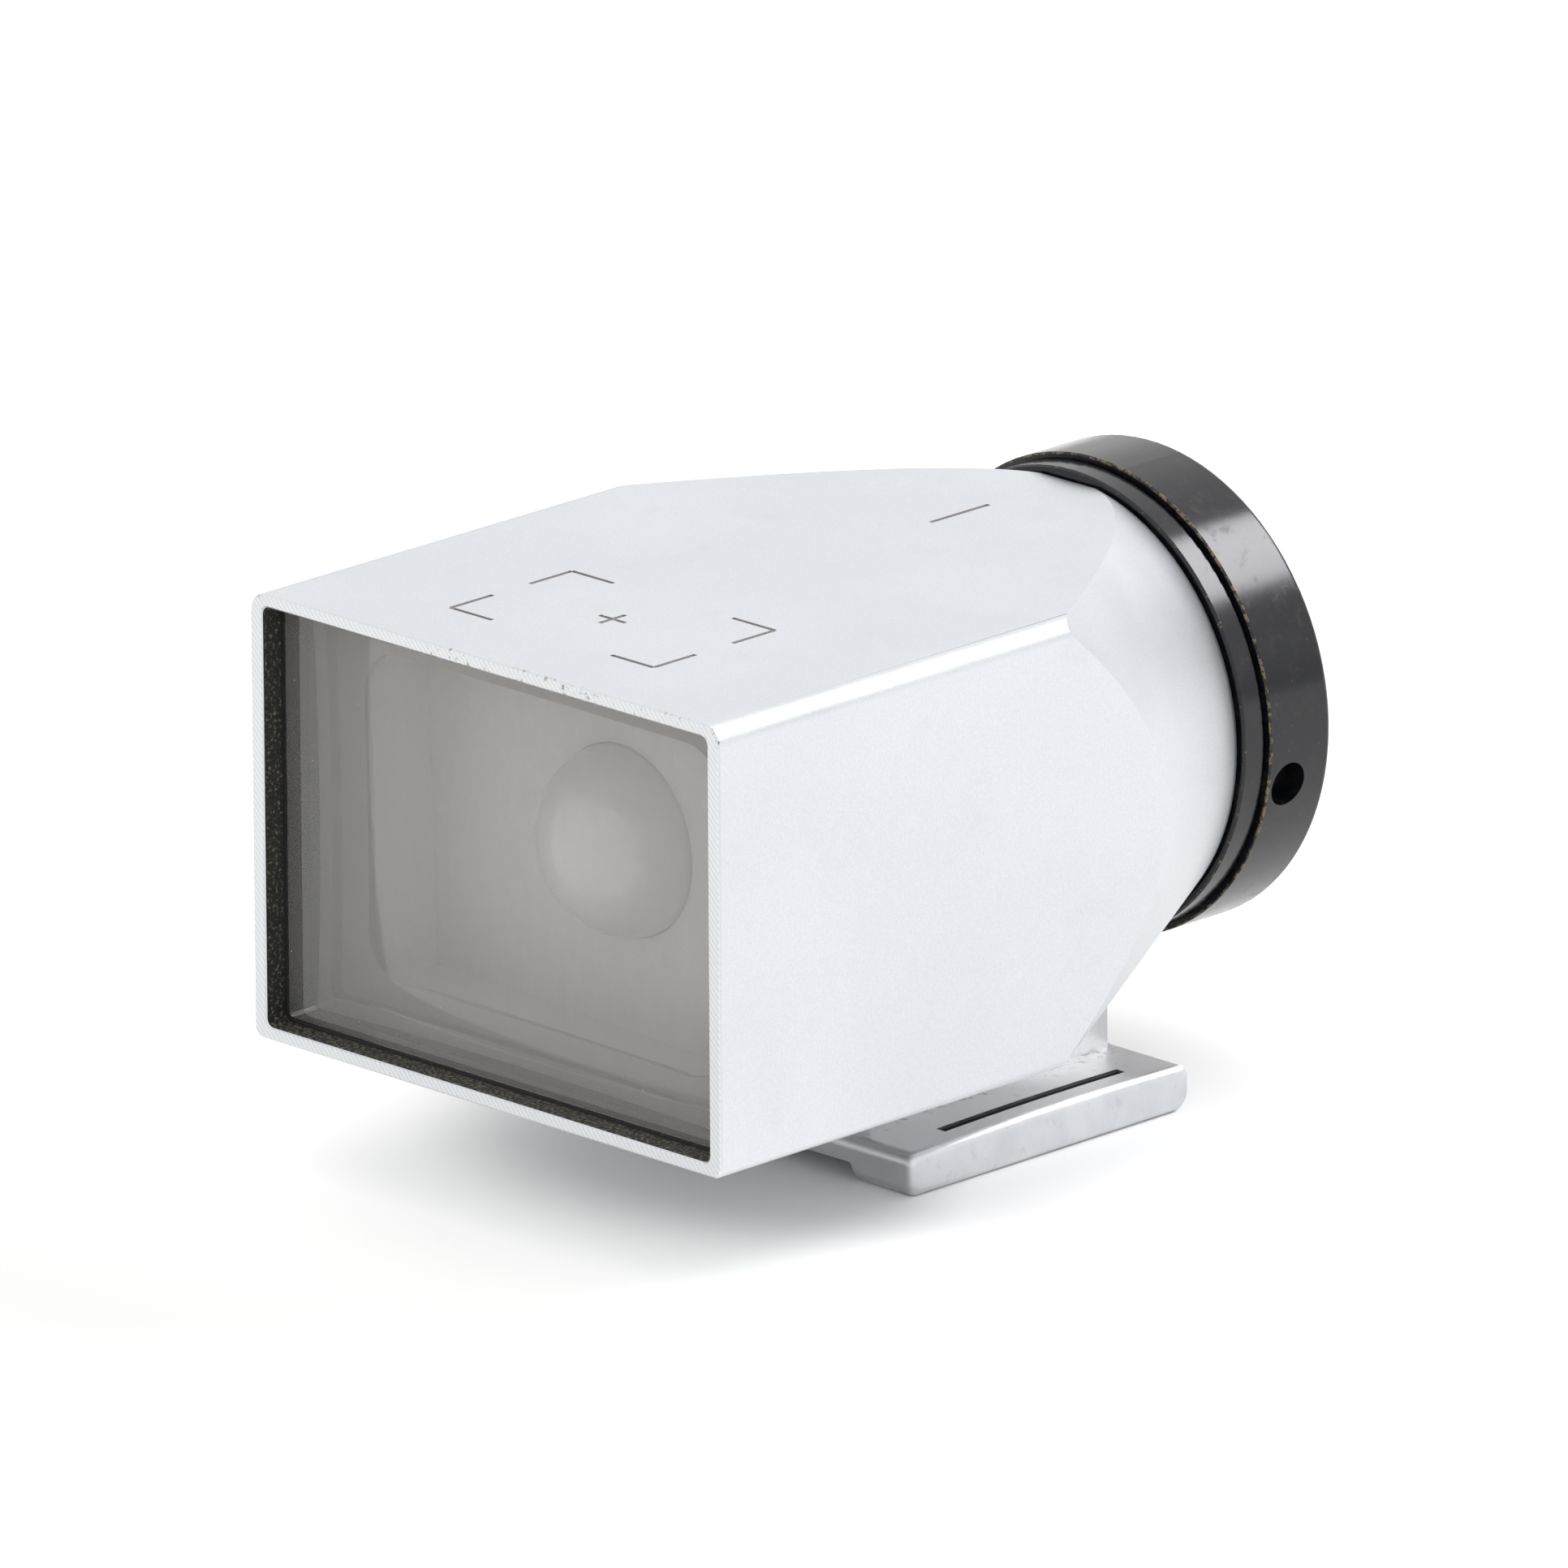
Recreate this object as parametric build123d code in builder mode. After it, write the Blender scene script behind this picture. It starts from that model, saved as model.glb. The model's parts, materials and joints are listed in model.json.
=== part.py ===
from build123d import *
import os
from math import sqrt

# A shoe-mount optical viewfinder: a brass shell with a rectangular window in front, a
# round eyepiece behind and an accessory-shoe foot below.
#
# Frame: millimetres, +Z up. The origin is the middle of the foot's underside. The window
# faces -Y, the eyepiece +Y. "Depth" is the distance behind the housing's front rim.

os.makedirs("parts", exist_ok=True)

# Shoe foot: a standard accessory-shoe foot with a sprung rail along each side.
foot_width = 18.5
foot_length = 16.3
foot_edge_radius = 0.35
foot_top_nose = 0.5
foot_front_nose = 0.5
foot_rear_nose = 0.85
plate_underside = 0.8
rail_inner = 6.2
rail_step_slope = 0.45
rail_front_height = 1.85
rail_crown_height = 2.02
rail_rear_height = 1.93
rail_crown_y = -1.0
slot_centre_x = 7.93
slot_width = 0.5
slot_front_y = -5.1
slot_rear_y = 5.4

# Pedestal between the foot and the housing, let into the foot's top.
pedestal_seat = 1.55
pedestal_width = 10.86
pedestal_front_y = -6.7
pedestal_rear_y = 7.2

# Housing: a rectangular box with rounded long edges, turned to a cone behind.
front_y = -23.2
axis_z = 14.92
housing_width = 26.84
housing_height = 19.0
housing_length = 33.7
housing_top_radius = 0.88
housing_bottom_radius = 0.45
cone_rear_radius = 9.63
cone_slope = 0.476
rim_side_width = 0.70
rim_level_width = 0.55
pocket_corner_radius = 0.35
pocket_depth = 10.4
ledge_width = 0.8
cone_wall = 1.3
rear_wall = 1.8
rim_inner_chamfer = 0.08
rim_outer_chamfer = 0.09

# Front optics, stacked in the pocket from its ledge forwards.
seal_width = 0.15
seal_clearance = 0.02
front_lens_start = 1.1
front_lens_end = 4.2
front_lens_curve = 120.0
front_lens_centre = 2.0
front_lens_bevel = 0.08
mask_start = 4.6
mask_thickness = 0.3
mask_window_width = 20.8
mask_window_height = 14.2
mask_window_radius = 2.0
plate_thickness = 0.8
spacer_wall = 0.45
spacer_clearance = 0.05
inner_lens_radius = 4.6
inner_lens_clearance = 0.03
inner_lens_boss = 5.6
inner_lens_boss_length = 2.6
inner_lens_edge = 1.2
inner_lens_curve = 4.25
inner_lens_shoulder = 0.3

# Eyepiece: a fixed tube, a cell that slides in it, and a ring that turns on its thread.
tube_front = 29.3
tube_rear = 36.6
tube_bore = 7.60
tube_neck_radius = 7.95
tube_root_radius = 8.28
tube_thread_radius = 8.60
washer_radius = 9.35
lock_ring_radius = 9.93
lock_ring_start = 33.85
lock_ring_end = 35.02
lock_ring_chamfer = 0.08
ring_radius = 10.2
ring_start = 35.12
ring_end = 38.7
ring_front_radius = 0.08
ring_rear_radius = 0.28
ring_seam_angle = 10
ring_web_start = 37.3
ring_web_end = 37.7
ring_web_bore = 7.75
ring_recess_radius = 8.90
thread_clearance = 0.06
spanner_hole_radius = 0.95
spanner_hole_depth = 1.2
spanner_hole_position = 36.3
spanner_hole_angle = 11
cell_front = 29.9
cell_radius = 7.54
cell_front_bore = 6.4
cell_bore = 6.9
cell_flange_radius = 8.3
cell_flange_start = 37.74
cell_flange_end = 38.10
keeper_start = 38.14
keeper_end = 38.52
keeper_bore = 7.3
eye_lens_radius = 6.85
eye_lens_start = 33.2
cement_vertex = 34.0
cement_curve = 14.0
eye_lens_vertex = 37.6
eye_lens_curve = 18.0
retainer_bore = 6.3
retainer_start = 36.5
retainer_end = 37.3
retainer_radius = 6.88
guide_pin_radius = 0.5
guide_pin_depth = 30.9
guide_pin_inner = 6.7
guide_slot_width = 1.1
guide_slot_front = 29.2
guide_slot_rear = 32.4

# Fasteners between the foot, the pedestal and the housing.
screw_shank_radius = 0.8
screw_head_radius = 1.5
screw_hole_radius = 0.86
screw_places = [(-3.3, -4.6), (3.3, -4.6), (-3.3, 5.0), (3.3, 5.0)]
screw_reach = 1.15
dowel_radius = 0.6
dowel_places = [(0, -4.6), (0, 5.0)]
dowel_half_length = 1.1

# Engraved field-frame mark on the housing's top face.
mark_depth = 0.06
mark_stroke = 0.22
mark_width = 11.6
mark_height = 6.9
mark_arm = 2.4
mark_centre_depth = 7.4
mark_cross = 1.5
mark_index_depth = 27.4
mark_index_length = 3.4

housing_bottom = axis_z - housing_height / 2
housing_top = axis_z + housing_height / 2
pocket_width = housing_width - 2 * rim_side_width
pocket_height = housing_height - 2 * rim_level_width
cavity_width = pocket_width - 2 * ledge_width
cavity_height = pocket_height - 2 * ledge_width
plate_start = pocket_depth - plate_thickness
optical_axis = Axis((0, front_y, axis_z), (0, 1, 0))
ring_thread_radius = tube_thread_radius + thread_clearance


def across(depth):
    """The plane across the optical axis at a depth behind the front rim, facing the rear."""
    return Plane(origin=(0, front_y + depth, axis_z), x_dir=(1, 0, 0), z_dir=(0, 1, 0))


def along():
    """The upright plane along the optical axis: its x is depth, its y is the radius."""
    return Plane(origin=(0, front_y, axis_z), x_dir=(0, 1, 0), z_dir=(1, 0, 0))


def level(height):
    """The level plane at a height above the foot's underside."""
    return Plane.XY.offset(height)


def sagitta(curve, radius):
    """How far a sphere's cap of this curve radius has fallen back at a distance from its axis."""
    return curve - sqrt(curve**2 - radius**2)


def cone_radius(depth):
    """The housing cone's outer radius at a depth."""
    return cone_rear_radius + cone_slope * (housing_length - depth)


def frustum(wall, start, end):
    """The corners of the cone's half section, drawn inwards by a wall, between two depths."""
    front_radius = cone_radius(start) - wall
    rear_radius = cone_radius(end) - wall
    return [(start, 0), (start, front_radius), (end, rear_radius), (end, 0)]


def turned(corners):
    """A piece turned about the optical axis from its half section, given as (depth, radius)."""
    with BuildPart() as piece:
        with BuildSketch(along()):
            Polygon(*corners, align=None)
        revolve(axis=optical_axis)
    return piece


def plain_ring(outer, bore, start, end):
    """A plain ring about the optical axis."""
    return turned([(start, bore), (start, outer), (end, outer), (end, bore)])


def notched_ring(outer, bore, start, end, notch_width=0.7, notch_depth=0.2):
    """A threaded ring with two spanner notches across its rear face."""
    with BuildPart() as piece:
        add(plain_ring(outer, bore, start, end).part)
        with BuildSketch(across(end)):
            Rectangle(2.2 * outer, notch_width)
        extrude(amount=-notch_depth, mode=Mode.SUBTRACT)
    return piece


def rectangular_frame(outer_size, inner_size, start, thickness, corner, inner_corner):
    """A flat frame across the optical axis with a rounded window."""
    with BuildPart() as piece:
        with BuildSketch(across(start)):
            RectangleRounded(*outer_size, corner)
            RectangleRounded(*inner_size, inner_corner, mode=Mode.SUBTRACT)
        extrude(amount=thickness)
    return piece


# Housing

with BuildPart() as cavity:
    with BuildSketch(across(pocket_depth)):
        RectangleRounded(cavity_width, cavity_height, pocket_corner_radius)
    extrude(amount=housing_length - rear_wall - pocket_depth)
    with BuildSketch(along()):
        Polygon(*frustum(cone_wall, pocket_depth, housing_length - rear_wall), align=None)
    revolve(axis=optical_axis, mode=Mode.INTERSECT)

with BuildPart() as housing:
    # In this plane the sketch's y points down.
    with BuildSketch(across(0)) as outline:
        Rectangle(housing_width, housing_height)
        fillet(outline.vertices().group_by(Axis.Y)[0], housing_top_radius)
        fillet(outline.vertices().group_by(Axis.Y)[-1], housing_bottom_radius)
    extrude(amount=housing_length)
    with BuildSketch(along()):
        Polygon(*frustum(0, 0, housing_length), align=None)
    revolve(axis=optical_axis, mode=Mode.INTERSECT)
    with BuildSketch(across(0)):
        RectangleRounded(pocket_width, pocket_height, pocket_corner_radius)
    extrude(amount=pocket_depth, mode=Mode.SUBTRACT)
    add(cavity.part, mode=Mode.SUBTRACT)
    with BuildSketch(across(housing_length)):
        Circle(tube_root_radius)
    extrude(amount=-rear_wall - 0.5, mode=Mode.SUBTRACT)
    with BuildSketch(level(housing_bottom)):
        with Locations(*screw_places):
            Circle(screw_shank_radius)
    extrude(amount=screw_reach, mode=Mode.SUBTRACT)
    with BuildSketch(level(housing_bottom)):
        with Locations(*dowel_places):
            Circle(dowel_radius)
    extrude(amount=dowel_half_length, mode=Mode.SUBTRACT)
    chamfer(housing.faces().sort_by(Axis.Y)[0].inner_wires()[0].edges(), rim_inner_chamfer)
    chamfer(housing.faces().sort_by(Axis.Y)[0].outer_wire().edges(), rim_outer_chamfer)
    # Engraved mark: the four corner brackets of a field frame, a cross, and an index line.
    with BuildSketch(level(housing_top)):
        mark_y = front_y + mark_centre_depth
        for side in (-1, 1):
            for end in (-1, 1):
                corner_x = side * mark_width / 2
                corner_y = mark_y + end * mark_height / 2
                with Locations((corner_x - side * mark_arm / 2, corner_y)):
                    Rectangle(mark_arm, mark_stroke)
                with Locations((corner_x, corner_y - end * mark_arm / 2)):
                    Rectangle(mark_stroke, mark_arm)
        with Locations((0, mark_y)):
            Rectangle(mark_cross, mark_stroke)
            Rectangle(mark_stroke, mark_cross)
        with Locations((0, front_y + mark_index_depth)):
            Rectangle(mark_stroke, mark_index_length)
    extrude(amount=-mark_depth, mode=Mode.SUBTRACT)

# Front optics

lens_size = (pocket_width - 2 * seal_width, pocket_height - 2 * seal_width)
with BuildPart() as front_lens:
    with BuildSketch(across(front_lens_start)):
        RectangleRounded(*lens_size, pocket_corner_radius)
    extrude(amount=front_lens_end - front_lens_start)
    chamfer(front_lens.faces().sort_by(Axis.Y)[0].edges(), front_lens_bevel)
    hollow_vertex = front_y + front_lens_start + front_lens_centre
    with Locations((0, hollow_vertex + front_lens_curve, axis_z)):
        Sphere(front_lens_curve, mode=Mode.SUBTRACT)

front_lens_seal = rectangular_frame(
    (pocket_width, pocket_height),
    (lens_size[0] + 2 * seal_clearance, lens_size[1] + 2 * seal_clearance),
    front_lens_start + front_lens_bevel, front_lens_end - front_lens_start - front_lens_bevel,
    pocket_corner_radius, pocket_corner_radius,
)

lens_shim = rectangular_frame(
    (pocket_width, pocket_height), (pocket_width - 1.6, pocket_height - 1.6),
    front_lens_end, mask_start - front_lens_end, pocket_corner_radius, pocket_corner_radius,
)

field_mask = rectangular_frame(
    (pocket_width, pocket_height), (mask_window_width, mask_window_height),
    mask_start, mask_thickness, pocket_corner_radius, mask_window_radius,
)

spacer_outer = (pocket_width - 2 * spacer_clearance, pocket_height - 2 * spacer_clearance)
spacer_inner = (spacer_outer[0] - 2 * spacer_wall, spacer_outer[1] - 2 * spacer_wall)
spacer_start = mask_start + mask_thickness
spacer_tube = rectangular_frame(
    spacer_outer, spacer_inner, spacer_start, plate_start - spacer_start,
    pocket_corner_radius, pocket_corner_radius / 2,
)

with BuildPart() as lens_plate:
    with BuildSketch(across(plate_start)):
        RectangleRounded(*spacer_outer, pocket_corner_radius)
    extrude(amount=plate_thickness)
    with BuildSketch(across(plate_start)):
        Circle(inner_lens_boss)
    extrude(amount=inner_lens_boss_length)
    # The lens drops in from behind, against a narrow shoulder at the front of its bore.
    with BuildSketch(across(plate_start)):
        Circle(inner_lens_curve + inner_lens_clearance)
    extrude(amount=inner_lens_boss_length, mode=Mode.SUBTRACT)
    with BuildSketch(across(plate_start + inner_lens_shoulder)):
        Circle(inner_lens_radius + inner_lens_clearance)
    extrude(amount=inner_lens_boss_length, mode=Mode.SUBTRACT)

# The inner lens is flat behind and a dome in front, which passes through the shoulder.
inner_lens_start = plate_start + inner_lens_shoulder
inner_lens_end = inner_lens_start + inner_lens_edge
dome_reach = inner_lens_curve * sqrt(0.5)
with BuildPart() as inner_lens:
    with BuildSketch(along()):
        with BuildLine():
            ThreePointArc(
                (inner_lens_start - inner_lens_curve, 0),
                (inner_lens_start - dome_reach, dome_reach),
                (inner_lens_start, inner_lens_curve),
            )
            Polyline(
                (inner_lens_start, inner_lens_curve),
                (inner_lens_start, inner_lens_radius),
                (inner_lens_end, inner_lens_radius),
                (inner_lens_end, 0),
                (inner_lens_start - inner_lens_curve, 0),
            )
        make_face()
    revolve(axis=optical_axis)

inner_lens_retainer = notched_ring(
    inner_lens_radius, inner_lens_radius - 0.6, inner_lens_end, plate_start + inner_lens_boss_length
)

# Eyepiece, fixed pieces

with BuildPart() as eyepiece_tube:
    add(
        turned(
            [
                (tube_front, tube_bore),
                (tube_front, tube_neck_radius),
                (housing_length - rear_wall, tube_neck_radius),
                (housing_length - rear_wall, tube_root_radius),
                (housing_length, tube_root_radius),
                (housing_length, tube_thread_radius),
                (tube_rear, tube_thread_radius),
                (tube_rear, tube_bore),
            ]
        ).part
    )
    with BuildSketch(Plane.XY.offset(axis_z)):
        with Locations((0, front_y + guide_pin_depth)):
            Circle(guide_pin_radius)
    extrude(amount=tube_neck_radius + 1, mode=Mode.SUBTRACT)

with BuildPart() as guide_pin:
    with BuildSketch(Plane.XY.offset(axis_z + guide_pin_inner)):
        with Locations((0, front_y + guide_pin_depth)):
            Circle(guide_pin_radius)
    extrude(amount=tube_neck_radius - guide_pin_inner)

tube_washer = plain_ring(washer_radius, tube_thread_radius, housing_length, lock_ring_start)

with BuildPart() as lock_ring:
    add(plain_ring(lock_ring_radius, tube_thread_radius, lock_ring_start, lock_ring_end).part)
    chamfer(lock_ring.edges().filter_by(GeomType.CIRCLE).group_by(SortBy.RADIUS)[-1], lock_ring_chamfer)

# Eye cell, which slides along the tube

with BuildPart() as eye_cell:
    add(
        turned(
            [
                (cell_front, cell_front_bore),
                (cell_front, cell_radius),
                (cell_flange_start, cell_radius),
                (cell_flange_start, cell_flange_radius),
                (cell_flange_end, cell_flange_radius),
                (cell_flange_end, cell_bore),
                (eye_lens_start, cell_bore),
                (eye_lens_start, cell_front_bore),
            ]
        ).part
    )
    with BuildSketch(Plane.XY.offset(axis_z)):
        with Locations((0, front_y + (guide_slot_front + guide_slot_rear) / 2)):
            SlotOverall(guide_slot_rear - guide_slot_front, guide_slot_width, rotation=90)
    extrude(amount=cell_radius + 1, mode=Mode.SUBTRACT)

cement_edge = cement_vertex + sagitta(cement_curve, eye_lens_radius)
cement_middle = (cement_vertex + sagitta(cement_curve, eye_lens_radius / 2), eye_lens_radius / 2)
with BuildPart() as eye_lens_flint:
    with BuildSketch(along()):
        with BuildLine():
            Polyline(
                (cement_vertex, 0),
                (eye_lens_start, 0),
                (eye_lens_start, eye_lens_radius),
                (cement_edge, eye_lens_radius),
            )
            ThreePointArc((cement_edge, eye_lens_radius), cement_middle, (cement_vertex, 0))
        make_face()
    revolve(axis=optical_axis)

back_edge = eye_lens_vertex - sagitta(eye_lens_curve, eye_lens_radius)
back_middle = (eye_lens_vertex - sagitta(eye_lens_curve, eye_lens_radius / 2), eye_lens_radius / 2)
with BuildPart() as eye_lens_crown:
    with BuildSketch(along()):
        with BuildLine():
            ThreePointArc((cement_vertex, 0), cement_middle, (cement_edge, eye_lens_radius))
            Line((cement_edge, eye_lens_radius), (back_edge, eye_lens_radius))
            ThreePointArc((back_edge, eye_lens_radius), back_middle, (eye_lens_vertex, 0))
            Line((eye_lens_vertex, 0), (cement_vertex, 0))
        make_face()
    revolve(axis=optical_axis)

eye_lens_retainer = notched_ring(retainer_radius, retainer_bore, retainer_start, retainer_end)

# Eyepiece ring, which turns on the tube's thread and carries the eye cell

ring_blank = turned(
    [
        (ring_start, ring_thread_radius),
        (ring_start, ring_radius),
        (ring_end, ring_radius),
        (ring_end, ring_recess_radius),
        (ring_web_end, ring_recess_radius),
        (ring_web_end, ring_web_bore),
        (ring_web_start, ring_web_bore),
        (ring_web_start, ring_thread_radius),
    ]
)
with BuildPart() as eyepiece_ring:
    # Turned a little, so that the surface's seam lies away from the spanner holes.
    add(ring_blank.part.rotate(optical_axis, ring_seam_angle))
    rims = eyepiece_ring.edges().filter_by(GeomType.CIRCLE).group_by(SortBy.RADIUS)[-1]
    fillet(rims.sort_by(Axis.Y)[0], ring_front_radius)
    rims = eyepiece_ring.edges().filter_by(GeomType.CIRCLE).group_by(SortBy.RADIUS)[-1]
    fillet(rims.sort_by(Axis.Y)[-1], ring_rear_radius)
    hole_centre = (0, front_y + spanner_hole_position, axis_z)
    hole_plane = Plane(origin=hole_centre, x_dir=(0, 1, 0), z_dir=(1, 0, 0))
    with BuildSketch(hole_plane.rotated((0, spanner_hole_angle, 0)).offset(ring_radius + 1)):
        Circle(spanner_hole_radius)
    extrude(amount=-spanner_hole_depth - 1, mode=Mode.SUBTRACT)
    with BuildSketch(hole_plane.rotated((0, spanner_hole_angle, 0)).offset(-ring_radius - 1)):
        Circle(spanner_hole_radius)
    extrude(amount=spanner_hole_depth + 1, mode=Mode.SUBTRACT)

cell_keeper = notched_ring(ring_recess_radius, keeper_bore, keeper_start, keeper_end)

# Foot and pedestal

with BuildPart() as shoe_foot:
    # The side profile has an arched top and rounded ends.
    with BuildSketch(Plane.YZ) as profile:
        with BuildLine():
            Polyline(
                (-foot_length / 2, rail_front_height),
                (-foot_length / 2, 0),
                (foot_length / 2, 0),
                (foot_length / 2, rail_rear_height),
            )
            ThreePointArc(
                (foot_length / 2, rail_rear_height),
                (rail_crown_y, rail_crown_height),
                (-foot_length / 2, rail_front_height),
            )
        make_face()
        fillet(profile.vertices().group_by(Axis.Y)[0].sort_by(Axis.X)[0], foot_front_nose)
        fillet(profile.vertices().group_by(Axis.Y)[0].sort_by(Axis.X)[-1], foot_rear_nose)
        fillet(profile.vertices().group_by(Axis.X)[0].sort_by(Axis.Y)[-1], foot_top_nose)
        fillet(profile.vertices().group_by(Axis.X)[-1].sort_by(Axis.Y)[-1], foot_top_nose)
    extrude(amount=foot_width / 2, both=True)
    fillet(shoe_foot.faces().filter_by(Axis.X).edges(), foot_edge_radius)
    # The pedestal sits in a shallow recess.
    with BuildSketch(level(pedestal_seat)):
        with Locations((0, (pedestal_front_y + pedestal_rear_y) / 2)):
            Rectangle(pedestal_width, pedestal_rear_y - pedestal_front_y)
    extrude(amount=1, mode=Mode.SUBTRACT)
    # The underside is relieved between the rails.
    with BuildSketch(Plane.XZ):
        Polygon(
            (-rail_inner, 0),
            (rail_inner, 0),
            (rail_inner - rail_step_slope, plate_underside),
            (-rail_inner + rail_step_slope, plate_underside),
            align=None,
        )
    extrude(amount=foot_length, both=True, mode=Mode.SUBTRACT)
    # A slot beside each rail lets it spring.
    with BuildSketch(level(0)):
        with Locations(
            (-slot_centre_x, (slot_front_y + slot_rear_y) / 2),
            (slot_centre_x, (slot_front_y + slot_rear_y) / 2),
        ):
            Rectangle(slot_width, slot_rear_y - slot_front_y)
    extrude(amount=3, mode=Mode.SUBTRACT)
    with Locations(Plane(origin=(0, 0, plate_underside), z_dir=(0, 0, -1))):
        with Locations(*screw_places):
            CounterSinkHole(screw_hole_radius, screw_head_radius + 0.06, depth=3)

with BuildPart() as pedestal:
    with BuildSketch(level(pedestal_seat)):
        with Locations((0, (pedestal_front_y + pedestal_rear_y) / 2)):
            Rectangle(pedestal_width, pedestal_rear_y - pedestal_front_y)
        with Locations(*screw_places):
            Circle(screw_hole_radius, mode=Mode.SUBTRACT)
    extrude(amount=housing_bottom - pedestal_seat)
    with BuildSketch(level(housing_bottom)):
        with Locations(*dowel_places):
            Circle(dowel_radius)
    extrude(amount=-dowel_half_length, mode=Mode.SUBTRACT)

head_height = screw_head_radius - screw_shank_radius
with BuildPart() as foot_screws:
    for place in screw_places:
        with BuildSketch(level(plate_underside)):
            with Locations(place):
                Circle(screw_head_radius)
        extrude(amount=head_height, taper=45)
        with BuildSketch(level(plate_underside)):
            with Locations(place):
                Circle(screw_shank_radius)
        extrude(amount=housing_bottom + screw_reach - plate_underside)
        with BuildSketch(level(plate_underside)):
            with Locations(place):
                Rectangle(2.2 * screw_head_radius, 0.45)
        extrude(amount=0.3, mode=Mode.SUBTRACT)

with BuildPart() as dowel_pins:
    with BuildSketch(level(housing_bottom)):
        with Locations(*dowel_places):
            Circle(dowel_radius)
    extrude(amount=dowel_half_length, both=True)

pieces = {
    "housing": housing,
    "front_lens": front_lens,
    "front_lens_seal": front_lens_seal,
    "lens_shim": lens_shim,
    "field_mask": field_mask,
    "spacer_tube": spacer_tube,
    "lens_plate": lens_plate,
    "inner_lens": inner_lens,
    "inner_lens_retainer": inner_lens_retainer,
    "eyepiece_tube": eyepiece_tube,
    "guide_pin": guide_pin,
    "tube_washer": tube_washer,
    "lock_ring": lock_ring,
    "eye_cell": eye_cell,
    "eye_lens_flint": eye_lens_flint,
    "eye_lens_crown": eye_lens_crown,
    "eye_lens_retainer": eye_lens_retainer,
    "eyepiece_ring": eyepiece_ring,
    "cell_keeper": cell_keeper,
    "pedestal": pedestal,
    "shoe_foot": shoe_foot,
    "foot_screws": foot_screws,
    "dowel_pins": dowel_pins,
}
for name, piece in pieces.items():
    piece.part.label = name
    export_step(piece.part, f"parts/{name}.step")
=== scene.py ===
import json
import math

import bpy
from mathutils import Matrix, Vector

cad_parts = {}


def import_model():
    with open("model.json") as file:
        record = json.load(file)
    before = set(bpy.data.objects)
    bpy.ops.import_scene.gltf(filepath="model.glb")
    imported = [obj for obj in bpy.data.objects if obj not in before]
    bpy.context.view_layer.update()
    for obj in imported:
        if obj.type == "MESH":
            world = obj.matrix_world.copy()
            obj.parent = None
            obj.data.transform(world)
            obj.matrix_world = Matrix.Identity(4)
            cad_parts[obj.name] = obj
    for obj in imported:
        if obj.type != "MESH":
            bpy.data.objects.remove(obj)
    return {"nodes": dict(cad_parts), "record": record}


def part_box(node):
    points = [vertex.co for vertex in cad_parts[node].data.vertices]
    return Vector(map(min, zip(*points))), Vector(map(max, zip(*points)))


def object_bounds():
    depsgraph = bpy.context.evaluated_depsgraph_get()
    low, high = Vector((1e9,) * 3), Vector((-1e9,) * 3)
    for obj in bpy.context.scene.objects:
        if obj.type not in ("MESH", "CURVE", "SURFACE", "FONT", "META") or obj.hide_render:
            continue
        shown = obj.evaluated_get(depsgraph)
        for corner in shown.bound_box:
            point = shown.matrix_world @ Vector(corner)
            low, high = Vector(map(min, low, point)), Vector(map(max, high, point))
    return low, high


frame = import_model()
cad_low, cad_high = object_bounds()

# Everything is in metres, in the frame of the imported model: +Z up, the window faces -Y.
MM = 0.001
NODES = frame["nodes"]

# Places read from the frame.
HOUSING_LOW, HOUSING_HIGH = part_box("housing")
RING_LOW, RING_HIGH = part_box("eyepiece_ring")
FOOT_TOP_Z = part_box("shoe_foot")[1].z
PEDESTAL_SIDE_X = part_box("pedestal")[1].x
LOCK_LOW, LOCK_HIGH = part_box("lock_ring")
MASK_LOW, MASK_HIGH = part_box("field_mask")
FRONT_Y = HOUSING_LOW.y
TOP_Z = HOUSING_HIGH.z
AXIS_Z = (HOUSING_LOW.z + HOUSING_HIGH.z) / 2
POCKET_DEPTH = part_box("lens_plate")[1].y - FRONT_Y

# The foot's spring slots and its arched top, which falls by ARCH_BEND times the square of
# the distance from its crown.
SLOT_INNER_X = 7.66 * MM
SLOT_OUTER_X = 8.20 * MM
SLOT_FRONT_Y = -5.12 * MM
SLOT_REAR_Y = 5.42 * MM
ARCH_CROWN_Y = 1.2 * MM
ARCH_BEND = 2.0


# ---------------------------------------------------------------- shader helpers


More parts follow.
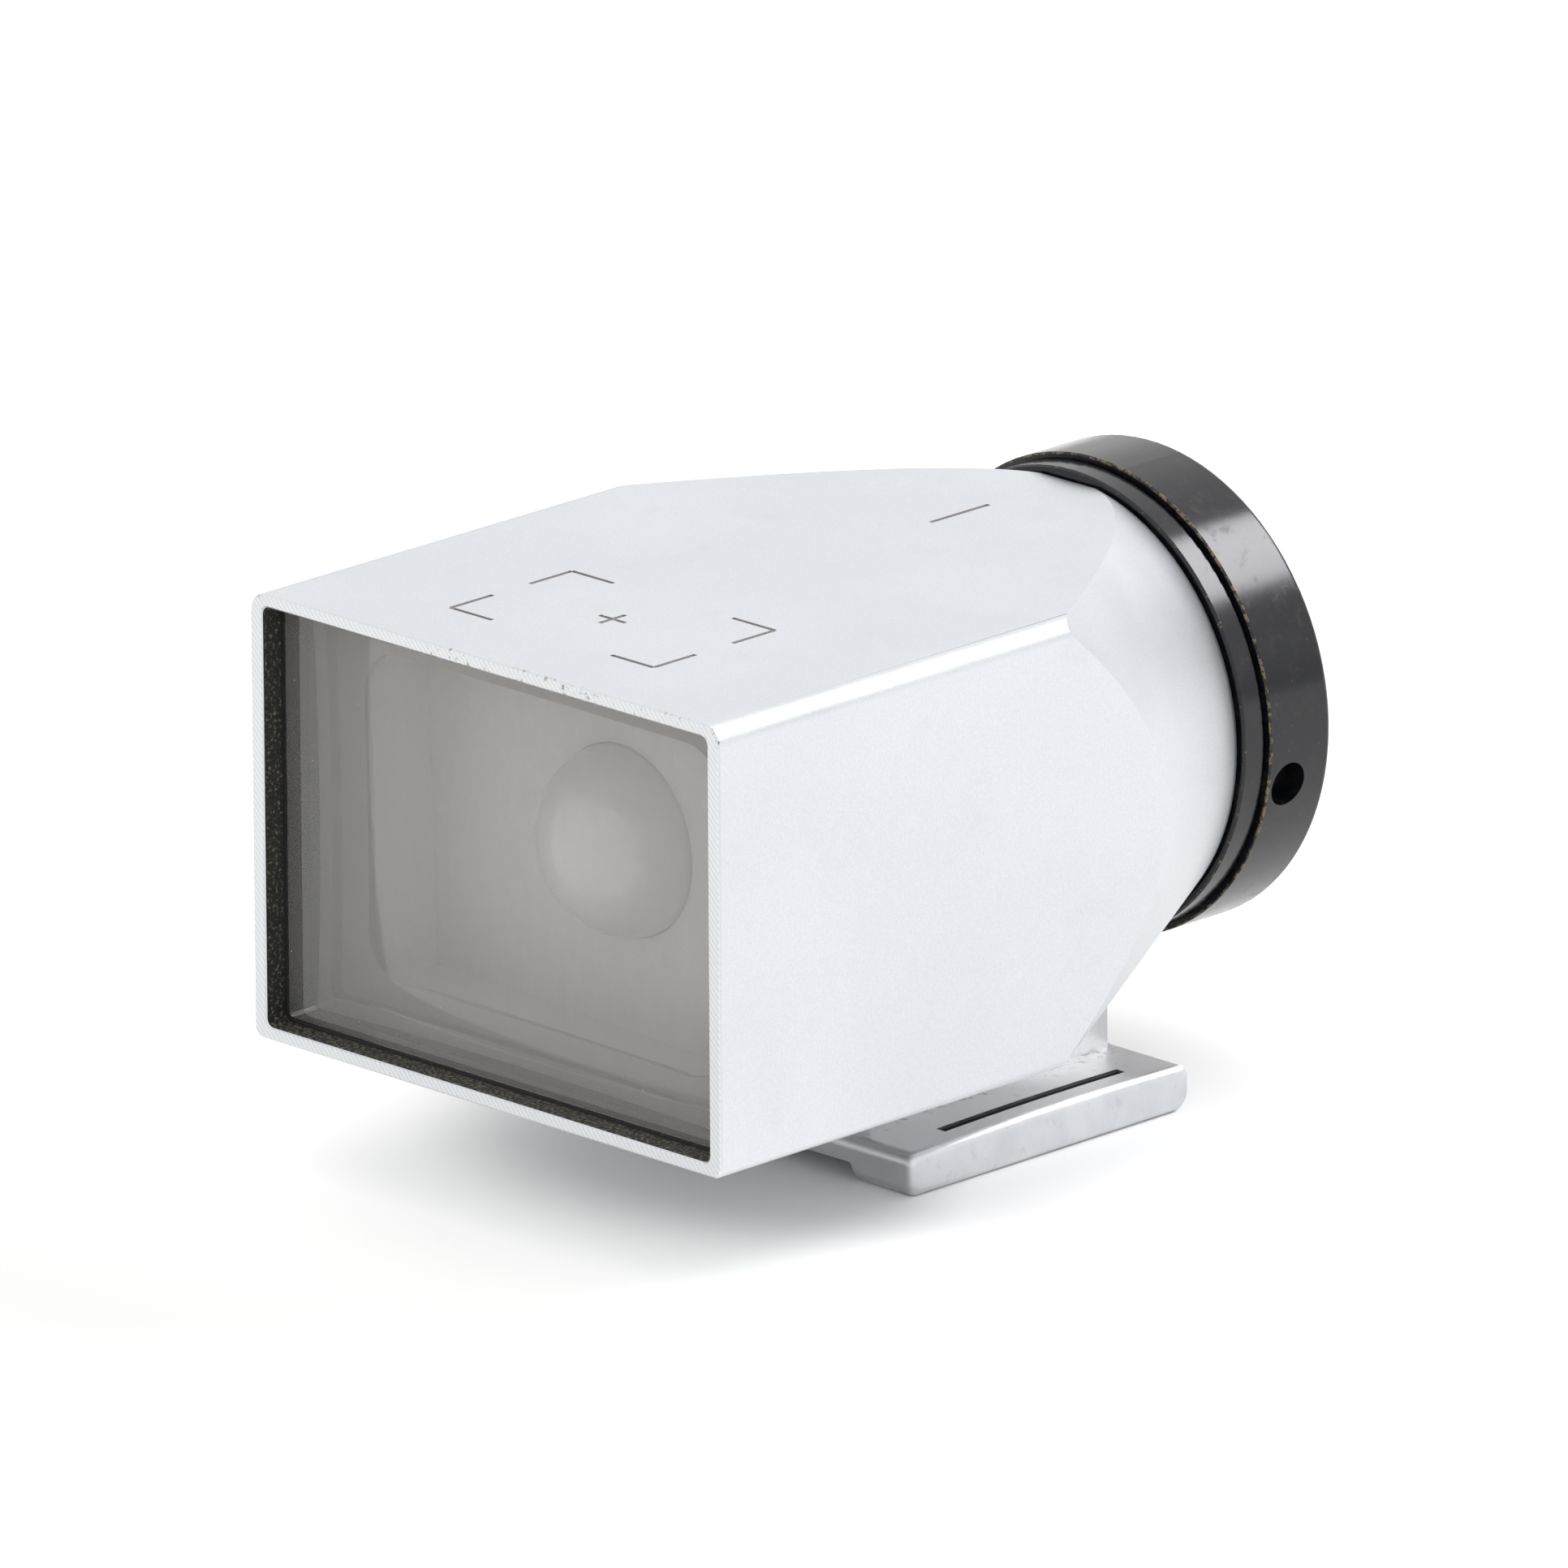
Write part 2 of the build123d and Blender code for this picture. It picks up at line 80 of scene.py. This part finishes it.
class Shader:
    """A material's node tree, with short calls for the nodes that the materials share."""

    def __init__(self, name):
        self.material = bpy.data.materials.new(name)
        self.material.use_nodes = True
        self.tree = self.material.node_tree
        self.tree.nodes.clear()
        self.output = self.tree.nodes.new("ShaderNodeOutputMaterial")
        self.bsdf = self.tree.nodes.new("ShaderNodeBsdfPrincipled")
        self.link(self.bsdf.outputs["BSDF"], self.output.inputs["Surface"])
        coordinates = self.tree.nodes.new("ShaderNodeTexCoord")
        self.place = coordinates.outputs["Object"]
        split = self.tree.nodes.new("ShaderNodeSeparateXYZ")
        self.link(self.place, split.inputs[0])
        self.x, self.y, self.z = split.outputs
        geometry = self.tree.nodes.new("ShaderNodeNewGeometry")
        facing = self.tree.nodes.new("ShaderNodeSeparateXYZ")
        self.link(geometry.outputs["Normal"], facing.inputs[0])
        self.nx, self.ny, self.nz = facing.outputs

    def link(self, source, target):
        self.tree.links.new(source, target)

    def feed(self, socket, value):
        if hasattr(value, "is_linked"):
            self.link(value, socket)
        else:
            socket.default_value = value

    def math(self, operation, first, second=0.0, clamp=False):
        node = self.tree.nodes.new("ShaderNodeMath")
        node.operation = operation
        node.use_clamp = clamp
        self.feed(node.inputs[0], first)
        self.feed(node.inputs[1], second)
        return node.outputs[0]

    def ramp(self, value, low, high, to_low=0.0, to_high=1.0):
        """value from low..high carried smoothly to to_low..to_high, clamped."""
        node = self.tree.nodes.new("ShaderNodeMapRange")
        node.interpolation_type = "SMOOTHSTEP"
        self.feed(node.inputs["Value"], value)
        node.inputs["From Min"].default_value = low
        node.inputs["From Max"].default_value = high
        node.inputs["To Min"].default_value = to_low
        node.inputs["To Max"].default_value = to_high
        return node.outputs["Result"]

    def all_of(self, *masks):
        result = masks[0]
        for mask in masks[1:]:
            result = self.math("MULTIPLY", result, mask)
        return result

    def between(self, value, low, high, soft):
        """1 where value is between low and high, with soft sides."""
        return self.all_of(
            self.ramp(value, low - soft, low + soft),
            self.ramp(value, high - soft, high + soft, 1.0, 0.0),
        )

    def noise(self, size, detail=3.0, roughness=0.55, stretch=(1, 1, 1), seed=0.0):
        """Noise whose features are about size metres across; seed moves it elsewhere."""
        mapping = self.tree.nodes.new("ShaderNodeMapping")
        self.link(self.place, mapping.inputs["Vector"])
        mapping.inputs["Location"].default_value = (seed, seed * 0.7, seed * 1.3)
        mapping.inputs["Scale"].default_value = stretch
        node = self.tree.nodes.new("ShaderNodeTexNoise")
        self.link(mapping.outputs[0], node.inputs["Vector"])
        node.inputs["Scale"].default_value = 1 / size
        node.inputs["Detail"].default_value = detail
        node.inputs["Roughness"].default_value = roughness
        return node.outputs[0]

    def lines(self, direction, pitch):
        """A wave from 0 to 1 across straight lines of this pitch, along a direction."""
        dot = self.tree.nodes.new("ShaderNodeVectorMath")
        dot.operation = "DOT_PRODUCT"
        self.link(self.place, dot.inputs[0])
        dot.inputs[1].default_value = direction
        wave = self.math("SINE", self.math("MULTIPLY", dot.outputs["Value"], 2 * math.pi / pitch))
        return self.ramp(wave, -1.0, 1.0)

    def mix(self, factor, first, second):
        """A colour mixed from two, by a factor."""
        node = self.tree.nodes.new("ShaderNodeMix")
        node.data_type = "RGBA"
        self.feed(node.inputs["Factor"], factor)
        self.feed(node.inputs["A"], self.colour(first))
        self.feed(node.inputs["B"], self.colour(second))
        return node.outputs["Result"]

    @staticmethod
    def colour(value):
        return value if hasattr(value, "is_linked") else (*value, 1.0)

    def blend(self, factor, first, second):
        """A number mixed from two, by a factor."""
        node = self.tree.nodes.new("ShaderNodeMix")
        node.data_type = "FLOAT"
        self.feed(node.inputs["Factor"], factor)
        self.feed(node.inputs["A"], first)
        self.feed(node.inputs["B"], second)
        return node.outputs["Result"]

    def bump(self, height, distance, strength=1.0, under=None):
        node = self.tree.nodes.new("ShaderNodeBump")
        node.inputs["Strength"].default_value = strength
        node.inputs["Distance"].default_value = distance
        self.link(height, node.inputs["Height"])
        if under is not None:
            self.link(under, node.inputs["Normal"])
        return node.outputs["Normal"]

    def radius(self):
        """The distance from the optical axis."""
        drop = self.math("SUBTRACT", self.z, AXIS_Z)
        squares = self.math(
            "ADD", self.math("MULTIPLY", self.x, self.x), self.math("MULTIPLY", drop, drop)
        )
        return self.math("SQRT", squares)

    def set(self, **values):
        names = {"color": "Base Color", "ior": "IOR", "coat": "Coat Weight",
                 "coat_roughness": "Coat Roughness", "specular": "Specular IOR Level",
                 "transmission": "Transmission Weight", "glow": "Emission Strength"}
        for key, value in values.items():
            socket = self.bsdf.inputs[names.get(key, key.capitalize())]
            self.feed(socket, self.colour(value) if key == "color" else value)
        return self


# ---------------------------------------------------------------- materials


def satin_chrome():
    """Blasted and chromed brass, with a machined front rim, a black pocket, an engraved mark, and
    painted shade on the pedestal.
    """
    s = Shader("satin_chrome")
    grain = s.noise(0.10 * MM, 2.0, 0.6)
    cloud = s.noise(7 * MM, 3.0, 0.5, seed=0.02)
    smudge = s.ramp(s.noise(2.6 * MM, 4.0, 0.6, seed=0.05), 0.56, 0.74)
    metal = s.mix(s.ramp(cloud, 0.35, 0.65), (0.628, 0.648, 0.676), (0.650, 0.669, 0.696))
    metal = s.mix(s.math("MULTIPLY", smudge, 0.08), metal, (0.44, 0.44, 0.45))
    metal = s.mix(s.ramp(grain, 0.40, 0.62, 0.10, 0.0), metal, (0.30, 0.31, 0.33))

    # The pedestal, below the housing, is darkened with painted shade, for the housing's shade over
    # it.
    below = s.ramp(s.z, HOUSING_LOW.z - 0.30 * MM, HOUSING_LOW.z - 0.05 * MM, 0.50, 0.0)
    metal = s.mix(below, metal, (0.34, 0.34, 0.34))

    # The rim is cut across in fine lines, and its top edge is nicked.
    rim = s.ramp(s.y, FRONT_Y + 0.02 * MM, FRONT_Y + 0.05 * MM, 1.0, 0.0)
    metal = s.mix(rim, metal, (0.700, 0.715, 0.730))
    cuts = s.lines((0.72, 0.0, 0.69), 0.20 * MM)
    metal = s.mix(s.all_of(rim, s.ramp(cuts, 0.45, 0.95), 0.30), metal, (0.44, 0.44, 0.46))
    nicks = s.all_of(
        s.ramp(s.noise(0.34 * MM, 3.0, 0.7, seed=0.31), 0.56, 0.66),
        s.ramp(s.noise(3.2 * MM, 1.0, 0.5, seed=0.47), 0.49, 0.60),
        s.ramp(s.y, FRONT_Y + 0.1 * MM, FRONT_Y + 0.2 * MM, 1.0, 0.0),
        s.ramp(s.z, TOP_Z - 0.75 * MM, TOP_Z - 0.65 * MM),
    )
    metal = s.mix(s.math("MULTIPLY", nicks, 0.8), metal, (0.24, 0.20, 0.15))

    # The engraving is filled with dark paint on its floor.
    mark = s.between(s.z, TOP_Z - 0.075 * MM, TOP_Z - 0.012 * MM, 0.004 * MM)
    mark = s.all_of(mark, s.ramp(s.nz, 0.985, 0.995))
    paint_tone = s.mix(s.noise(0.15 * MM, seed=0.6), (0.12, 0.105, 0.095), (0.26, 0.235, 0.215))

    # The pocket is lacquered black, with dust in front of the glass and most on its sill.
    wall_x = MASK_HIGH.x + 0.02 * MM
    wall_z = MASK_HIGH.z - AXIS_Z + 0.02 * MM
    level = s.math("ABSOLUTE", s.math("SUBTRACT", s.z, AXIS_Z))
    inside = s.all_of(
        s.ramp(s.math("ABSOLUTE", s.x), wall_x, wall_x + 0.02 * MM, 1.0, 0.0),
        s.ramp(level, wall_z, wall_z + 0.02 * MM, 1.0, 0.0),
        s.between(s.y, FRONT_Y + 0.08 * MM, FRONT_Y + POCKET_DEPTH, 0.01 * MM),
    )
    sill = s.ramp(s.z, MASK_LOW.z - 0.05 * MM, MASK_LOW.z + 0.10 * MM, 0.07, 0.0)
    dust = s.math(
        "MULTIPLY",
        s.ramp(s.math("ADD", s.noise(0.16 * MM, 4.0, 0.7, seed=0.11), sill), 0.52, 0.68),
        s.ramp(s.y, FRONT_Y + 1.00 * MM, FRONT_Y + 1.15 * MM, 1.0, 0.0),
    )
    lacquer = s.mix(dust, (0.010, 0.010, 0.010), (0.20, 0.195, 0.14))

    painted = s.math("MAXIMUM", inside, mark)
    colour = s.mix(inside, s.mix(mark, metal, paint_tone), lacquer)
    fine = s.bump(grain, 0.011 * MM, 0.8)
    s.set(
        color=colour,
        metallic=s.math("SUBTRACT", 1.0, painted),
        roughness=s.blend(painted, s.ramp(cloud, 0.3, 0.7, 0.36, 0.42), 0.6),
        normal=s.bump(s.math("MULTIPLY", cuts, rim), 0.012 * MM, 0.6, fine),
    )
    return s.material


def foot_nickel():
    """Plated brass of the foot, with dirt along the pedestal, dark walls in its slots, a painted
    highlight on its top and painted shade on its front end.
    """
    s = Shader("foot_nickel")
    grain = s.noise(0.12 * MM, 2.0, 0.6, seed=0.2)
    cloud = s.noise(2.4 * MM, 4.0, 0.55, seed=0.24)
    metal = s.mix(s.ramp(cloud, 0.35, 0.68), (0.585, 0.605, 0.63), (0.66, 0.675, 0.695))

    # Painted light: the top is lightened toward white as a painted highlight, and the front end is
    # darkened with painted shade.
    top = s.ramp(s.nz, 0.6, 0.9)
    end = s.ramp(s.ny, -0.9, -0.6, 0.45, 0.0)
    metal = s.mix(end, s.mix(top, metal, (1.0, 1.0, 1.0)), (0.38, 0.38, 0.37))

    # Dirt lies on the top, thickest beside the pedestal, over a faint stain all round.
    beside = s.math("SUBTRACT", s.math("ABSOLUTE", s.x), PEDESTAL_SIDE_X)
    near = s.ramp(beside, 0.05 * MM, 1.5 * MM, 1.0, 0.0)
    specks = s.noise(0.45 * MM, 5.0, 0.72, seed=0.38)
    dirt = s.all_of(top, s.ramp(s.math("ADD", specks, s.math("MULTIPLY", near, 0.15)), 0.64, 0.82))
    stain = s.ramp(s.noise(0.9 * MM, 4.0, 0.7, seed=0.52), 0.56, 0.72)
    colour = s.mix(s.math("MULTIPLY", stain, 0.22), metal, (0.34, 0.31, 0.28))
    colour = s.mix(s.math("MULTIPLY", dirt, 0.65), colour, (0.17, 0.13, 0.09))

    # The walls of the two spring slots are coloured near-black, below a clean lip.
    reach = s.math("SUBTRACT", s.y, ARCH_CROWN_Y)
    fall = s.math("MULTIPLY", s.math("MULTIPLY", reach, reach), ARCH_BEND)
    below = s.math("SUBTRACT", s.math("SUBTRACT", FOOT_TOP_Z, fall), s.z)
    sunk = s.all_of(
        s.ramp(below, 0.09 * MM, 0.13 * MM),
        s.between(s.math("ABSOLUTE", s.x), SLOT_INNER_X, SLOT_OUTER_X, 0.02 * MM),
        s.between(s.y, SLOT_FRONT_Y, SLOT_REAR_Y, 0.02 * MM),
    )
    dull = s.math("MAXIMUM", dirt, sunk)
    plating = s.math("ADD", s.ramp(cloud, 0.3, 0.7, 0.30, 0.38), s.math("MULTIPLY", top, 0.06))
    s.set(
        color=s.mix(sunk, colour, (0.020, 0.018, 0.022)),
        metallic=s.math("SUBTRACT", 1.0, s.math("MULTIPLY", dull, 0.9)),
        roughness=s.blend(dull, plating, 0.8),
        normal=s.bump(grain, 0.008 * MM, 0.6),
    )
    return s.material


def black_enamel():
    """Glossy black enamel over brass, rubbed through along the two rings' front edges."""
    s = Shader("black_enamel")
    ripple = s.noise(1.2 * MM, 2.0, 0.5, seed=0.7)
    wear = s.noise(0.30 * MM, 4.0, 0.7, seed=0.77)
    ring_edge = s.all_of(
        s.between(s.y, RING_LOW.y - 0.02 * MM, RING_LOW.y + 0.12 * MM, 0.02 * MM),
        s.ramp(s.radius(), RING_HIGH.x - 0.16 * MM, RING_HIGH.x - 0.08 * MM),
    )
    lock_edge = s.all_of(
        s.between(s.y, LOCK_LOW.y - 0.02 * MM, LOCK_LOW.y + 0.13 * MM, 0.03 * MM),
        s.ramp(s.radius(), LOCK_HIGH.x - 0.16 * MM, LOCK_HIGH.x - 0.08 * MM),
    )
    rubbed = s.math(
        "MAXIMUM", s.math("MULTIPLY", ring_edge, 0.24), s.math("MULTIPLY", lock_edge, 0.13)
    )
    worn = s.ramp(s.math("ADD", wear, rubbed), 0.72, 0.80)
    scuff = s.ramp(s.noise(0.8 * MM, 5.0, 0.7, seed=0.83), 0.48, 0.72)
    dust = s.ramp(s.noise(0.16 * MM, 3.0, 0.6, seed=0.95), 0.68, 0.76)
    black = s.mix(scuff, (0.0040, 0.0045, 0.0065), (0.014, 0.013, 0.013))
    black = s.mix(s.math("MULTIPLY", dust, 0.7), black, (0.13, 0.12, 0.10))
    s.set(
        color=s.mix(worn, black, (0.150, 0.120, 0.072)),
        metallic=s.math("MULTIPLY", worn, 0.8),
        roughness=s.blend(worn, s.ramp(scuff, 0.0, 1.0, 0.17, 0.28), 0.4),
        normal=s.bump(ripple, 0.010 * MM, 0.35),
        specular=0.36,
        coat=0.10,
        coat_roughness=0.12,
    )
    return s.material


def matte(name, tone, light, rough=0.4):
    """Matte inside finish, mottled from tone to light; rough is the strength of its bumps."""
    s = Shader(name)
    speck = s.noise(0.25 * MM, 4.0, 0.65, seed=0.9)
    s.set(
        color=s.mix(s.ramp(speck, 0.4, 0.7), tone, light),
        roughness=s.ramp(speck, 0.3, 0.7, 0.5, 0.7),
        normal=s.bump(speck, 0.01 * MM, rough),
    )
    return s.material


def steel():
    """Turned steel of the screws and pins."""
    s = Shader("steel")
    turned = s.noise(0.2 * MM, 3.0, 0.6, seed=1.1)
    s.set(
        color=s.mix(turned, (0.42, 0.43, 0.45), (0.62, 0.63, 0.65)),
        metallic=1.0,
        roughness=s.ramp(turned, 0.3, 0.7, 0.25, 0.42),
        normal=s.bump(turned, 0.006 * MM, 0.5),
    )
    return s.material


def optical_glass(name, clear, tint, dusty, painted_edges=False):
    """Glass under a film of dust, which on the front and inner lenses is also painted haze: clear
    is the share of light that goes through.

    Painted edges are black on the flat faces that look sideways, up and down.
    """
    s = Shader(name)
    specks = s.ramp(s.noise(0.12 * MM, 2.0, 0.5, seed=1.3), 0.74, 0.80)
    streaks = s.noise(0.5 * MM, 3.0, 0.6, stretch=(1.0, 1.0, 0.35), seed=1.5)
    film = s.mix(s.ramp(streaks, 0.35, 0.68), tint, dusty)
    colour = s.mix(specks, film, (0.98, 0.97, 0.95))
    if painted_edges:
        edge = s.math(
            "MAXIMUM",
            s.ramp(s.math("ABSOLUTE", s.nx), 0.80, 0.90),
            s.ramp(s.math("ABSOLUTE", s.nz), 0.80, 0.90),
        )
        colour = s.mix(edge, colour, (0.016, 0.018, 0.024))
        clear = s.math("SUBTRACT", clear, s.math("MULTIPLY", edge, clear))
    s.set(
        color=colour,
        roughness=s.ramp(specks, 0.0, 1.0, 0.0, 0.3),
        ior=1.52,
        transmission=clear,
    )
    return s.material


chrome = satin_chrome()
nickel = foot_nickel()
enamel = black_enamel()
black = matte("black_metal", (0.020, 0.020, 0.019), (0.05, 0.048, 0.045))
paper = matte("black_paper", (0.016, 0.015, 0.014), (0.03, 0.03, 0.028))
lacquer = matte("black_lacquer", (0.012, 0.012, 0.012), (0.03, 0.03, 0.028))

# The parts behind the front glass are grey, which stands for the haze seen in it: painted
# reflection of the white surroundings in the glass.
mask_grey_painted_reflection = matte("mask_grey_painted_reflection", (0.285, 0.268, 0.248), (0.31, 0.292, 0.272), rough=0.1)
inside_grey_painted_reflection = matte("inside_grey_painted_reflection", (0.67, 0.665, 0.66), (0.71, 0.705, 0.70), rough=0.1)
bare_steel = steel()
glass = optical_glass(
    "optical_glass", clear=0.93, tint=(0.97, 0.97, 0.965), dusty=(0.93, 0.93, 0.92)
)
# The inner lens lets a quarter of the light through and is near white: painted haze, standing for
# the light disc the lens shows.
inner_glass_painted_haze = optical_glass(
    "inner_glass_painted_haze", clear=0.25, tint=(0.98, 0.98, 0.975), dusty=(0.95, 0.95, 0.94)
)
# The front glass's warm film is partly its real dust and partly painted haze that lifts the view
# through it.
front_glass = optical_glass(
    "front_glass",
    clear=0.92,
    tint=(0.94, 0.92, 0.90),
    dusty=(0.915, 0.895, 0.875),
    painted_edges=True,
)
FINISH = {
    "satin_chrome": chrome,
    "foot_nickel": nickel,
    "black_enamel": enamel,
    "black_metal": black,
    "black_paper": paper,
    "black_lacquer": lacquer,
    "steel": bare_steel,
    "optical_glass": glass,
}


def dress(node, material):
    """Gives a CAD node one material."""
    mesh = NODES[node].data
    mesh.materials.clear()
    mesh.materials.append(material)


for subpart in frame["record"]["subparts"]:
    dress(subpart["node"], FINISH[subpart["material_slot"]])
# The front lens's dust film is partly painted haze, and the inner lens is milky with painted haze.
dress("front_lens", front_glass)
dress("inner_lens", inner_glass_painted_haze)
# The parts behind the glass take the greys of painted reflection.
for inner in ("field_mask", "lens_shim"):
    dress(inner, mask_grey_painted_reflection)
for inner in ("spacer_tube", "lens_plate", "inner_lens_retainer"):
    dress(inner, inside_grey_painted_reflection)


# ---------------------------------------------------------------- floor, light, camera


def floor():
    """A plain pale surface under the foot.

    It glows faintly in a band in front of the object: painted light, which lifts the object's
    shadow there and lightens what the rim and the glass mirror.
    """
    bpy.ops.mesh.primitive_plane_add(size=6.0, location=(0, 0, cad_low[2]))
    ground = bpy.context.object
    ground.name = "floor"
    s = Shader("floor")
    away = s.math("SQRT", s.math("ADD", s.math("MULTIPLY", s.x, s.x), s.math("MULTIPLY", s.y, s.y)))
    # Painted light: the band of floor that glows.
    lit = s.all_of(
        s.ramp(away, 14 * MM, 21 * MM),
        s.ramp(away, 27 * MM, 46 * MM, 1.0, 0.0),
        s.ramp(s.y, -8 * MM, -2 * MM, 1.0, 0.0),
    )
    s.set(color=(0.87, 0.87, 0.86), roughness=0.75, glow=s.math("MULTIPLY", lit, 0.22))
    s.bsdf.inputs["Emission Color"].default_value = (1.0, 1.0, 0.985, 1.0)
    ground.data.materials.append(s.material)


def softbox(name, direction, distance, size, power, colour):
    """A rectangular soft light, in this direction from the object and facing it."""
    data = bpy.data.lights.new(name, "AREA")
    data.shape = "RECTANGLE"
    data.size, data.size_y = size
    data.energy = power
    data.color = colour
    lamp = bpy.data.objects.new(name, data)
    bpy.context.scene.collection.objects.link(lamp)
    centre = Vector((0, 0, AXIS_Z))
    toward = Vector(direction).normalized()
    lamp.location = centre + toward * distance
    lamp.rotation_euler = toward.to_track_quat("Z", "Y").to_euler()


def world(strength, horizon):
    """A white studio, which darkens to this share of its strength at the horizon."""
    scene = bpy.context.scene
    scene.world = bpy.data.worlds.new("studio")
    scene.world.use_nodes = True
    tree = scene.world.node_tree
    background = tree.nodes["Background"]
    background.inputs["Color"].default_value = (1.0, 1.0, 1.0, 1.0)
    coordinates = tree.nodes.new("ShaderNodeTexCoord")
    split = tree.nodes.new("ShaderNodeSeparateXYZ")
    tree.links.new(coordinates.outputs["Generated"], split.inputs[0])
    height = tree.nodes.new("ShaderNodeMapRange")
    height.interpolation_type = "SMOOTHSTEP"
    height.inputs["From Min"].default_value = 0.02
    height.inputs["From Max"].default_value = 0.26
    height.inputs["To Min"].default_value = strength * horizon
    height.inputs["To Max"].default_value = strength
    tree.links.new(split.outputs["Z"], height.inputs["Value"])
    tree.links.new(height.outputs["Result"], background.inputs["Strength"])


def camera():
    """A long lens, front right and a little above."""
    azimuth = math.radians(44.91)
    elevation = math.radians(17.729)
    roll = math.radians(-0.3245)
    distance = 1.1197
    aim = Vector((7.72 * MM, -13.80 * MM, 18.68 * MM))
    back = Vector(
        (
            math.sin(azimuth) * math.cos(elevation),
            -math.cos(azimuth) * math.cos(elevation),
            math.sin(elevation),
        )
    )
    right = Vector((math.cos(azimuth), math.sin(azimuth), 0.0))
    up = back.cross(right)
    turned_right = right * math.cos(roll) + up * math.sin(roll)
    turned_up = up * math.cos(roll) - right * math.sin(roll)
    data = bpy.data.cameras.new("camera")
    data.sensor_width = 36.0
    data.lens = 638.5
    data.clip_start = 0.01
    data.clip_end = 20.0
    eye = bpy.data.objects.new("camera", data)
    bpy.context.scene.collection.objects.link(eye)
    turn = Matrix((turned_right, turned_up, back)).transposed()
    eye.matrix_world = Matrix.Translation(aim + back * distance) @ turn.to_4x4()
    bpy.context.scene.camera = eye


floor()
world(strength=1.20, horizon=0.72)
softbox(
    "top_back",
    direction=(0.33, 0.675, 0.66),
    distance=0.8,
    size=(0.42, 0.22),
    power=3.4,
    colour=(0.97, 0.96, 1.0),
)
camera()

bpy.context.scene.view_settings.view_transform = "Standard"
